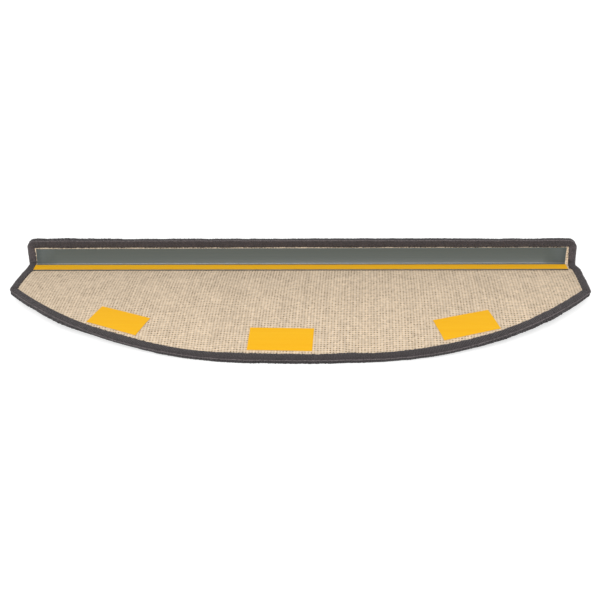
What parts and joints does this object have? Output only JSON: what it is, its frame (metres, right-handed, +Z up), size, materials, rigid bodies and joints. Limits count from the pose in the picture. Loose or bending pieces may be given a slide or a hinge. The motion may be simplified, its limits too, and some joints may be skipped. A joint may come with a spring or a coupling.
{
  "type": "stair tread mat",
  "caption": "Half-round carpet mat for one stair tread, with a plastic nosing angle in its folded edge and adhesive pads on its underside, lying pile down.",
  "frame": {"origin": "middle of the footprint, on the surface that the mat lies on pile down", "axes": "+X along the fold and the stair's nosing; +Y from the front edge towards the fold and the raised flap; +Z up, out of the glued underside"},
  "size_m": [0.65, 0.2124, 0.0343],
  "materials": {
    "pile": "dark grey loop pile",
    "backing_cloth": "beige woven cloth",
    "binding_yarn": "dark grey overlocked yarn",
    "angle_plastic": "grey green extruded",
    "adhesive_tape": "soft adhesive",
    "yellow_liner": "coated release paper"
  },
  "bodies": {
    "root": {"carpet_face": "pile", "woven_backing": "backing_cloth", "edge_binding": "binding_yarn", "nosing_angle": "angle_plastic", "nosing_tape": "adhesive_tape", "nosing_tape_liner": "yellow_liner", "left_pad_tape": "adhesive_tape", "left_pad_liner": "yellow_liner", "centre_pad_tape": "adhesive_tape", "centre_pad_liner": "yellow_liner", "right_pad_tape": "adhesive_tape", "right_pad_liner": "yellow_liner"}
  },
  "joints": []
}
